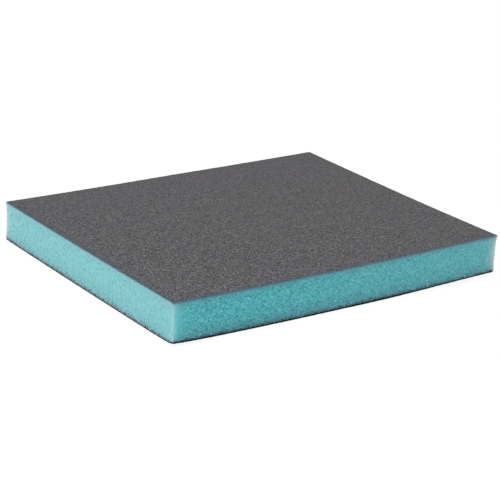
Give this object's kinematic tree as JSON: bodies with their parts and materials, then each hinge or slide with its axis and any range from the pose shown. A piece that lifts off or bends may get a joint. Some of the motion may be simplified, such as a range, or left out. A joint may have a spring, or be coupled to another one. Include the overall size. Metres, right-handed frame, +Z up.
{
  "type": "sanding block",
  "caption": "Flexible two-sided sanding pad: a rectangular slab of open-cell foam with an abrasive coat bonded to each wide face.",
  "frame": {"origin": "centre of the lower abrasive face, which rests on the work", "axes": "+Z up, out of the upper abrasive face; +X along the long side; +Y along the short side"},
  "size_m": [0.12, 0.098, 0.0125],
  "materials": {
    "foam": "matte",
    "bond": "satin",
    "grit": "matte"
  },
  "bodies": {
    "lower_face": {"lower_abrasive_coat": "grit", "lower_bond_coat": "bond", "foam_core": "foam"},
    "upper_face": {"upper_bond_coat": "bond", "upper_abrasive_coat": "grit"}
  },
  "joints": [
    {"name": "squeeze", "type": "slide", "parent": "lower_face", "child": "upper_face", "axis": [0, 0, -1], "range_m": [0, 0.004], "stiffness_N_per_m": 2000, "deforming": ["foam_core"]}
  ]
}
